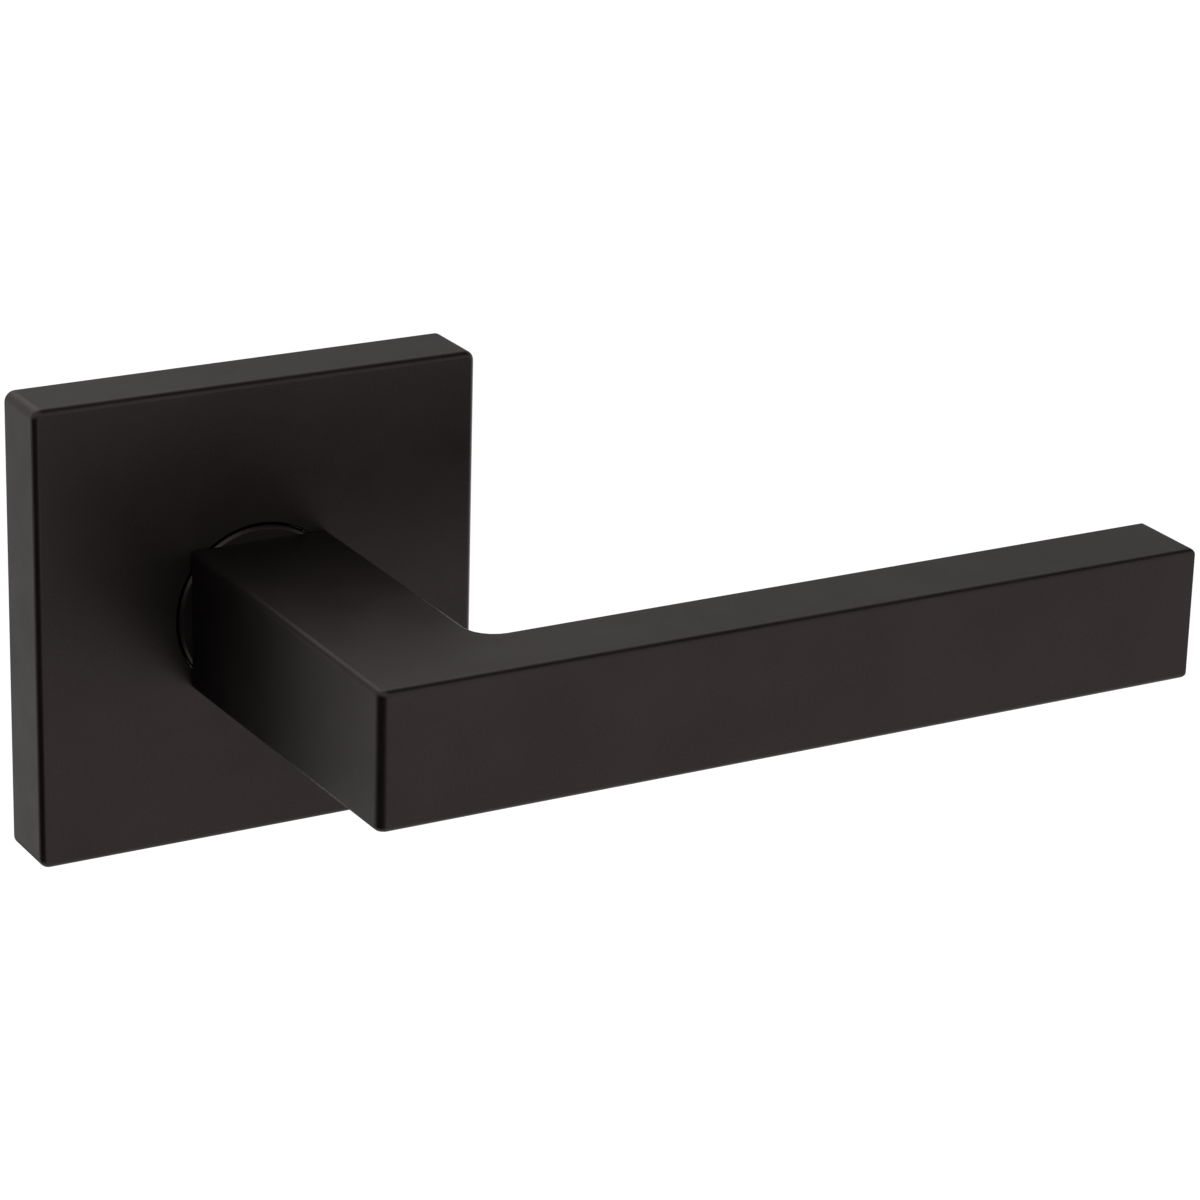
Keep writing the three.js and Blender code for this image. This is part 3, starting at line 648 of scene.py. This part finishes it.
def make_cover():
    low, high = span("rosette_cover")
    rim = ROSETTE_RIM_ROUND
    corner = ROSETTE_CORNER_ROUND
    rings = [square(high.x - rim, corner - rim, 0), square(high.x, corner, -rim)]
    steps = 2 * EDGE_STEPS
    for step in range(steps + 1):
        turn = math.pi / 2 * step / steps
        inset = ROSETTE_EDGE_ROUND * (1 - math.cos(turn))
        depth = low.y + ROSETTE_EDGE_ROUND * (1 - math.sin(turn))
        rings.append(square(high.x - inset, corner - inset, depth))
    cover = loft("cover_shell", rings)

    inner = high.x - ROSETTE_WALL
    inside = low.y + ROSETTE_WALL
    hollow = loft("hollow", [square(inner, ROSETTE_INNER_ROUND, depth) for depth in (inside, OVERCUT)])
    bore_radius = span("lever_collar")[1].x + COLLAR_GAP
    bore = countersunk("bore", bore_radius, low.y, inside + OVERCUT, ROSETTE_BORE_LEAD, ROUND_STEPS)
    grub_low, grub_high = span("cover_grub_screw")
    grub_hole = rod(grub_high.x + SEAT_GAP, low.z - OVERCUT, OVERCUT - inner)
    upright(grub_hole, (grub_low.y + grub_high.y) / 2)
    place(cut(cover, [hollow, bore, grub_hole, *hook_boxes(SEAT_GAP)]), "rosette", "rosette_cover")


def stop_slot():
    """A tool for the arc slot that the stop pin runs in."""
    radius = pin_place.length
    half = STOP_PIN_DIAMETER / 2 + RUNNING_GAP
    start = pin_angle - TRAVEL
    steps = SMALL_ROUND_STEPS // 2
    outline = arc(radius + half, start, pin_angle, steps)
    outline += arc(half, pin_angle, pin_angle + math.pi, steps, polar(radius, pin_angle))
    outline += arc(radius - half, pin_angle, start, steps)
    outline += arc(half, start + math.pi, start + 2 * math.pi, steps, polar(radius, start))
    return extruded("slot", outline, -PLATE_THICKNESS - OVERCUT, OVERCUT)


def make_plate():
    low, high = span("mounting_plate")
    plate = loft("plate_stamping", [
        square(high.x, ROSETTE_CORNER_ROUND, depth) for depth in (-PLATE_THICKNESS, 0)
    ])
    boss_front = span("front_bush")[0].y + FRONT_FLANGE_THICKNESS + SEAT_GAP
    inside = -PLATE_THICKNESS / 2
    lip_low = low.z + LIP_INSET
    join(plate, [
        disc(bush_seat + BOSS_WALL, boss_front, inside),
        box((-LIP_WIDTH / 2, low.y, lip_low), (LIP_WIDTH / 2, inside, lip_low + LIP_THICKNESS)),
        *hook_boxes(0),
    ])
    front = -PLATE_THICKNESS - OVERCUT
    tools = [
        disc(bush_seat, boss_front - OVERCUT, OVERCUT),
        disc(span("spring_cage")[1].x + FACE_GAP, -CAGE_SEAT_DEPTH, OVERCUT),
        stop_slot(),
    ]
    tools += [rod(BOLT_DIAMETER / 2 + BOLT_PLAY, front, OVERCUT, bolt) for bolt in bolts]
    tools += [rod(CAGE_SCREW_DIAMETER / 2 + SEAT_GAP, front, OVERCUT, screw) for screw in cage_screws]
    place(break_edges(cut(plate, tools), STAMPED_EDGE), "rosette", "mounting_plate")


# ------------------------------------------------------------------ hub, rings, washer and bushes


def make_hub():
    corners = [(0, hub_low.y, 0), (hub_radius, hub_low.y, HUB_END_ROUND)]
    for node in ("front_retaining_ring", "rear_retaining_ring"):
        ring_low, ring_high = span(node)
        front, back = ring_low.y - SEAT_GAP, ring_high.y + SEAT_GAP
        floor = hub_radius - GROOVE_DEPTH
        corners += [(hub_radius, front, 0), (floor, front, 0), (floor, back, 0), (hub_radius, back, 0)]
    corners += [(hub_radius, hub_high.y, HUB_END_ROUND), (0, hub_high.y, 0)]
    hub = turned("hub_casting", corners)

    front, back = hub_low.y - OVERCUT, hub_high.y + OVERCUT
    reach = 2 * hub_radius
    tools = [loft("hole", [square(HUB_HOLE / 2, HUB_HOLE_ROUND, depth) for depth in (front, back)])]
    for start, end in ((front, hub_low.y + HUB_NOSE), (0, back)):
        tools.append(box((-reach, start, HUB_FLAT), (reach, end, reach)))
        tools.append(box((-reach, start, -reach), (reach, end, -HUB_FLAT)))
    screw_low, screw_high = span("lever_set_screw")
    screw_hole = rod(screw_high.x + FACE_GAP, -reach, 0)
    tools.append(upright(screw_hole, (screw_low.y + screw_high.y) / 2))
    place(break_edges(cut(hub, tools), CAST_EDGE), "lever", "drive_hub")


def make_retaining_ring(node):
    """An open ring with a lug at each end."""
    low, high = span(node)
    inner = hub_radius - GROOVE_DEPTH + SEAT_GAP
    start = RING_OPENING / 2 - math.pi / 2
    end = start + 2 * math.pi - RING_OPENING
    outline = arc(high.z, start, end) + arc(inner, end, start)
    ring = extruded(node + "_clip", outline, low.y, high.y)
    lugs = [polar(inner + RING_LUG_DIAMETER / 2, angle) for angle in (start, end)]
    join(ring, [rod(RING_LUG_DIAMETER / 2, low.y, high.y, lug) for lug in lugs])
    cut(ring, [rod(RING_LUG_HOLE / 2, low.y - OVERCUT, high.y + OVERCUT, lug) for lug in lugs])
    place(break_edges(ring, CLIP_EDGE), "lever", node)


def make_wave_washer():
    low, high = span("wave_washer")
    rise = (high.y - low.y - WAVE_SHEET) / 2
    soft = 0.08
    sections = []
    for step in range(ROUND_STEPS):
        angle = 2 * math.pi * step / ROUND_STEPS
        front = low.y + rise * (1 + math.cos(WAVE_COUNT * angle))
        back = front + WAVE_SHEET
        section = soften([
            (bush_inner, front, soft), (high.x, front, soft),
            (high.x, back, soft), (bush_inner, back, soft),
        ], steps=2)
        sections.append([
            (radius * math.cos(angle), depth, radius * math.sin(angle)) for radius, depth in section
        ])
    place(loft("wave_spring_washer", sections, closed=True), "lever", "wave_washer")


def make_bush(node, shoulder):
    """A flanged sleeve whose flange ends at the shoulder."""
    low, high = span(node)
    soft = 0.2
    bush = turned(node + "_moulding", [
        (bush_inner, low.y, soft), (high.x, low.y, soft), (high.x, shoulder, soft),
        (bush_outer, shoulder, soft / 2), (bush_outer, high.y, soft), (bush_inner, high.y, soft),
    ])
    place(bush, "rosette", node)


# ------------------------------------------------------------------ cam, pin, spring, cage, spindle


def make_cam():
    low, high = span("stop_cam")
    start = pin_angle - CAM_LOBE_MARGIN
    end = leg_angle + CAM_LOBE_MARGIN
    outline = arc(cam_radius, start, end, SMALL_ROUND_STEPS)
    outline += arc(hub_radius + CAM_RING_WIDTH, end, start + 2 * math.pi)
    cam = extruded("cam_stamping", outline, low.y, high.y)
    front, back = low.y - OVERCUT, high.y + OVERCUT
    cut(cam, [
        extruded("keyway", flatted(socket_radius, HUB_FLAT + SEAT_GAP), front, back),
        rod(STOP_PIN_DIAMETER / 2 + SEAT_GAP, front, back, pin_place),
        rod(SPRING_LEG_HOLE / 2, front, back, polar(spring_radius, leg_angle)),
    ])
    place(break_edges(cam, STAMPED_EDGE), "lever", "stop_cam")


def make_pin():
    low, high = span("stop_pin")
    radius = STOP_PIN_DIAMETER / 2
    soft = 0.25
    pin = turned("stop_pin_rod", [
        (0, low.y, 0), (radius, low.y, soft), (radius, high.y, soft), (0, high.y, 0),
    ], pin_place, SMALL_ROUND_STEPS)
    place(pin, "lever", "stop_pin")


def spring_path():
    """(angle, depth) along the wire: a leg, a quarter bend, the coil, a quarter bend and a leg."""
    low, high = span("return_spring")
    swing = SPRING_BEND / spring_radius
    front = span("stop_cam")[1].y + FACE_GAP
    back = high.y - CAGE_WALL - FACE_GAP
    bends = [math.pi / 2 * step / EDGE_STEPS for step in range(EDGE_STEPS + 1)]
    lead = [
        (leg_angle + swing * (1 - math.cos(bend)), front + SPRING_BEND * math.sin(bend))
        for bend in bends
    ]
    tail = [
        (fixed_leg_angle - swing * (1 - math.cos(bend)), back - SPRING_BEND * math.sin(bend))
        for bend in reversed(bends)
    ]
    coil_start, coil_end = Vector(lead[-1]), Vector(tail[0])
    steps = round(SPRING_TURNS * TURN_STEPS)
    coil = [coil_start.lerp(coil_end, step / steps) for step in range(1, steps)]
    return [(leg_angle, low.y), *lead, *coil, *tail, (fixed_leg_angle, high.y)]


def make_spring():
    points = []
    for angle, depth in spring_path():
        x, z = polar(spring_radius, angle)
        points.append(Vector((x, depth, z)))
    rings = []
    for i, point in enumerate(points):
        along = points[min(i + 1, len(points) - 1)] - points[max(i - 1, 0)]
        outward = Vector((point.x, 0, point.z)).normalized()
        side = along.cross(outward).normalized()
        rings.append([
            point + outward * u + side * v for u, v in circle(SPRING_WIRE / 2, steps=WIRE_STEPS)
        ])
    spring = loft("torsion_spring", rings)
    dress(spring, "return_spring")
    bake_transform(spring)


def make_cage():
    low, high = span("spring_cage")
    inner = cam_radius + FACE_GAP
    outer = inner + CAGE_WALL
    flange_back = low.y + CAGE_WALL
    wall_front = high.y - CAGE_WALL
    drawn = 0.5
    trimmed = 0.15
    cage = turned("cage_pressing", [
        (inner, low.y, drawn),
        (high.x, low.y, trimmed),
        (high.x, flange_back, trimmed),
        (outer, flange_back, drawn),
        (outer, high.y, drawn + CAGE_WALL / 2),
        (bush_seat, high.y, trimmed),
        (bush_seat, wall_front, trimmed),
        (inner, wall_front, drawn),
    ])
    front, back = low.y - OVERCUT, high.y + OVERCUT
    tools = [rod(BOLT_DIAMETER / 2 + BOLT_PLAY, front, back, bolt) for bolt in bolts]
    tools += [
        rod(CAGE_SCREW_DIAMETER / 2 + SEAT_GAP, front, flange_back + OVERCUT, screw)
        for screw in cage_screws
    ]
    tools.append(rod(SPRING_LEG_HOLE / 2, wall_front - OVERCUT, back,
                     polar(spring_radius, fixed_leg_angle)))
    place(break_edges(cut(cage, tools), DRAWN_EDGE), "rosette", "spring_cage")


def make_spindle():
    low, high = span("spindle")
    half = high.x
    inset = SPINDLE_CHAMFER
    bar = loft("spindle_bar", [
        square(half - inset, SPINDLE_END_ROUND, low.y),
        square(half, SPINDLE_SIDE_ROUND, low.y + inset),
        square(half, SPINDLE_SIDE_ROUND, high.y - inset),
        square(half - inset, SPINDLE_END_ROUND, high.y),
    ])
    place(break_edges(bar, DRAWN_EDGE), "lever", "spindle")


# ------------------------------------------------------------------ screws and washers


def thread_rings(diameter, start, tip, centre=(0, 0)):
    """Rings of a helical thread along Y, with a chamfer at the tip."""
    pitch = SCREW_PITCHES[diameter]
    crest_radius = diameter / 2
    root_radius = crest_radius - pitch * THREAD_HEIGHT
    steps = round(abs(tip - start) / pitch * THREAD_STEPS)
    rings = []
    for step in range(steps + 1):
        depth = start + (tip - start) * step / steps
        limit = root_radius + abs(tip - depth)
        ring = []
        for side in range(SMALL_ROUND_STEPS):
            turn = side / SMALL_ROUND_STEPS
            phase = (depth / pitch + turn) % 1
            crest = min(1, THREAD_SLOPE * (1 - abs(2 * phase - 1)))
            radius = root_radius + (crest_radius - root_radius) * crest
            ring.append(Vector(centre) + polar(min(radius, limit), 2 * math.pi * turn))
        rings.append(at_depth(ring, depth))
    return rings


def cross_recess(head_radius, face, into, depth, centre):
    """A tool for a tapered cross that sinks into a screw head."""
    reach = head_radius * CROSS_REACH
    half = head_radius * CROSS_HALF_WIDTH
    rings = []
    for level, size in ((-CROSS_OVERCUT, CROSS_MOUTH), (depth, CROSS_FLOOR)):
        cross = []
        for quarter in range(4):
            turn = Matrix.Rotation(quarter * math.pi / 2, 2)
            for corner in ((reach, -half), (reach, half), (half, half)):
                cross.append(centre + turn @ Vector(corner) * size)
        rings.append(at_depth(cross, face + into * level))
    return loft("recess", rings)


def make_pan_screw(node, diameter, head_height, head_in_front):
    """A pan-head machine screw along Y with a helical thread and a cross recess."""
    low, high = span(node)
    centre = middle(node)
    head_radius = (high.x - low.x) / 2
    face, tip = (low.y, high.y) if head_in_front else (high.y, low.y)
    into = math.copysign(1, tip - face)
    seat = face + into * head_height
    head = [
        (head_radius * out, face + into * head_height * down, head_height * soft)
        for out, down, soft in PAN_HEAD
    ]
    profile = soften([(0, face, 0), *head, (diameter / 2 * SHANK, seat, 0)], closed=False)
    rings = turned_rings(profile, centre, SMALL_ROUND_STEPS)
    rings += thread_rings(diameter, seat + into * THREAD_START, tip, centre)
    screw = loft(node + "_pan_head", rings)
    cut(screw, [cross_recess(head_radius, face, into, head_height * CROSS_DEPTH, centre)])
    place(screw, "rosette", node)


def make_set_screw(node, body, diameter, key):
    """A headless screw that stands along Z, with a hexagon socket in its lower end."""
    low, high = span(node)
    length = high.z - low.z
    rings = thread_rings(diameter, length / 2, 0)[::-1] + thread_rings(diameter, length / 2, length)[1:]
    screw = loft(node + "_hexagon_socket", rings)
    hexagon = [polar(key / math.sqrt(3), side * math.pi / 3) for side in range(6)]
    mouth = 1 + KEY_LEAD
    socket = [
        at_depth([corner * size for corner in hexagon], depth)
        for depth, size in ((-OVERCUT, mouth), (0, mouth), (KEY_LEAD, 1), (length * KEY_DEPTH, 1))
    ]
    cut(screw, [loft("key_hole", [*socket, [(0, length * KEY_TIP, 0)]])])
    place(upright(screw, (low.y + high.y) / 2, low.z), body, node)


def make_washer(node):
    low, high = span(node)
    inner = BOLT_DIAMETER / 2 + BOLT_PLAY
    outer = (high.x - low.x) / 2
    soft = 0.08
    stamped = 0.15
    washer = turned(node + "_ring", [
        (inner, low.y, soft), (outer, low.y, stamped), (outer, high.y, soft), (inner, high.y, soft),
    ], middle(node))
    place(washer, "rosette", node)


# ------------------------------------------------------------------ the pieces

make_lever()
make_collar()
make_cover()
make_plate()
make_hub()
make_retaining_ring("front_retaining_ring")
make_retaining_ring("rear_retaining_ring")
make_wave_washer()
make_bush("front_bush", span("front_bush")[0].y + FRONT_FLANGE_THICKNESS)
make_bush("rear_bush", span("rear_bush")[0].y + REAR_FLANGE_THICKNESS)
make_cam()
make_pin()
make_spring()
make_cage()
make_spindle()
make_set_screw("lever_set_screw", "lever", SET_SCREW_DIAMETER, SET_SCREW_KEY)
make_set_screw("cover_grub_screw", "rosette", GRUB_SCREW_DIAMETER, GRUB_SCREW_KEY)
for i in (1, 2):
    make_washer(f"bolt_washer_{i}")
    make_pan_screw(f"through_bolt_{i}", BOLT_DIAMETER, BOLT_HEAD_HEIGHT, True)
for i in (1, 2, 3, 4):
    make_pan_screw(f"cage_screw_{i}", CAGE_SCREW_DIAMETER, CAGE_SCREW_HEAD_HEIGHT, False)

# ------------------------------------------------------------------ studio (metres)

AMBIENT = 0.5  # what the white surroundings add to matt surfaces
FLOOR_DEPTH = 1.0
FLOOR_SIZE = 12
FLOOR_GLOW = 0.65  # what the floor adds to its lit colour where it is seen, to look white

LAMP_DISTANCE = 1.1
LAMPS = {
    # azimuth, elevation, width, height, level
    "top_back": (-168, 53, 0.9, 0.9, 0.21),
    "right": (105, -20, 0.6, 0.9, 0.3),
}
BOARD_DISTANCE = 0.9
BOARDS = {
    # azimuth, elevation, width, height, and what mirrors the board in the main view
    "left_flag": (-57, -18, 1.65, 1.1),  # upright edges on the left of the front faces
    "top_flag": (60, 58, 0.8, 0.8),  # upper edges of the front faces
    "back_flag": (143, 13, 0.9, 0.24),  # top faces
    "side_flag": (-173, -24, 0.3, 0.8),  # the rosette's left side
}

CAMERA_AIM = Vector((0.04074, -0.033, 0.00259))
CAMERA_DISTANCE = 0.5991
CAMERA_AZIMUTH = -29.891
CAMERA_ELEVATION = 20.313
CAMERA_ROLL = math.radians(1.59)
CAMERA_LENS = 130.549  # millimetres
CAMERA_SENSOR = 36  # millimetres


def direction(azimuth, elevation):
    """The way to a place in the studio. Azimuth 0 is in front of the door, 90 to its right."""
    azimuth, elevation = math.radians(azimuth), math.radians(elevation)
    level = math.cos(elevation)
    return Vector((math.sin(azimuth) * level, -math.cos(azimuth) * level, math.sin(elevation)))


def facing(back, roll=0):
    """A rotation whose Z axis is `back` and whose Y axis points up."""
    level = Vector((0, 0, 1)).cross(back).normalized()
    right = level * math.cos(roll) + back.cross(level) * math.sin(roll)
    return Matrix((right, back.cross(right), back)).transposed().to_4x4()


def softbox(name, azimuth, elevation, width, height, level):
    """A soft lamp aimed at the handle. A matt white face turned to it gains about `level`."""
    lamp = bpy.data.lights.new(name, "AREA")
    lamp.shape = "RECTANGLE"
    lamp.size = width
    lamp.size_y = height
    lamp.energy = level * (math.pi * LAMP_DISTANCE) ** 2
    lamp_object = bpy.data.objects.new(name, lamp)
    back = direction(azimuth, elevation)
    lamp_object.matrix_world = Matrix.Translation(CAMERA_AIM + back * LAMP_DISTANCE) @ facing(back)
    lamp_object.visible_camera = False
    bpy.context.scene.collection.objects.link(lamp_object)


def sheet(name, width, height, pose):
    """A flat stage sheet in the XY plane of its pose."""
    corners = [(x * width / 2, y * height / 2, 0) for x, y in ((-1, -1), (1, -1), (1, 1), (-1, 1))]
    mesh = bpy.data.meshes.new(name)
    mesh.from_pydata(corners, [], [range(4)])
    panel = bpy.data.objects.new(name, mesh)
    panel.matrix_world = pose
    bpy.context.scene.collection.objects.link(panel)
    return panel


def plain(name, colour):
    """A matt stage material, and its node tree."""
    material = bpy.data.materials.new(name)
    material.use_nodes = True
    shader = material.node_tree.nodes["Principled BSDF"]
    shader.inputs["Base Color"].default_value = colour
    shader.inputs["Roughness"].default_value = 0.9
    shader.inputs["Specular IOR Level"].default_value = 0.1
    return material


def seen(tree, unseen_value, seen_value):
    """One value for camera, glossy and transmission rays, another for the rays that light matt faces."""
    path = tree.nodes.new("ShaderNodeLightPath")
    either = path.outputs["Is Camera Ray"]
    for kind in ("Is Glossy Ray", "Is Transmission Ray"):
        node = tree.nodes.new("ShaderNodeMath")
        node.operation = "MAXIMUM"
        tree.links.new(either, node.inputs[0])
        tree.links.new(path.outputs[kind], node.inputs[1])
        either = node.outputs[0]
    value = tree.nodes.new("ShaderNodeMapRange")
    value.inputs["To Min"].default_value = unseen_value
    value.inputs["To Max"].default_value = seen_value
    tree.links.new(either, value.inputs["Value"])
    return value.outputs[0]


def make_world():
    world = bpy.data.worlds.new("white_studio")
    world.use_nodes = True
    tree = world.node_tree
    background = tree.nodes["Background"]
    background.inputs["Color"].default_value = grey(1)
    tree.links.new(seen(tree, AMBIENT, 1), background.inputs["Strength"])
    bpy.context.scene.world = world


def make_floor():
    floor = sheet("floor", FLOOR_SIZE, FLOOR_SIZE, Matrix.Translation((0, 0, -FLOOR_DEPTH)))
    material = plain("pale_floor", grey(0.8))
    tree = material.node_tree
    shader = tree.nodes["Principled BSDF"]
    shader.inputs["Emission Color"].default_value = grey(1)
    tree.links.new(seen(tree, 0, FLOOR_GLOW), shader.inputs["Emission Strength"])
    floor.data.materials.append(material)


def black_board(name, azimuth, elevation, width, height):
    """A board that only mirrors see. It keeps the edges and faces that mirror it from washing out."""
    back = direction(azimuth, elevation)
    pose = Matrix.Translation(CAMERA_AIM + back * BOARD_DISTANCE) @ facing(back)
    board = sheet(name, width, height, pose)
    board.data.materials.append(plain(name + "_cloth", grey(0.01)))
    board.visible_camera = False
    board.visible_diffuse = False
    board.visible_shadow = False


def make_camera():
    camera = bpy.data.cameras.new("camera")
    camera.lens = CAMERA_LENS
    camera.sensor_width = CAMERA_SENSOR
    camera.clip_start = 0.01
    camera_object = bpy.data.objects.new("camera", camera)
    back = direction(CAMERA_AZIMUTH, CAMERA_ELEVATION)
    pose = Matrix.Translation(CAMERA_AIM + back * CAMERA_DISTANCE) @ facing(back, CAMERA_ROLL)
    camera_object.matrix_world = pose
    bpy.context.scene.collection.objects.link(camera_object)
    bpy.context.scene.camera = camera_object


make_world()
make_floor()
for name, values in LAMPS.items():
    softbox(name, *values)
for name, values in BOARDS.items():
    black_board(name, *values)
make_camera()
bpy.context.scene.view_settings.view_transform = "Standard"
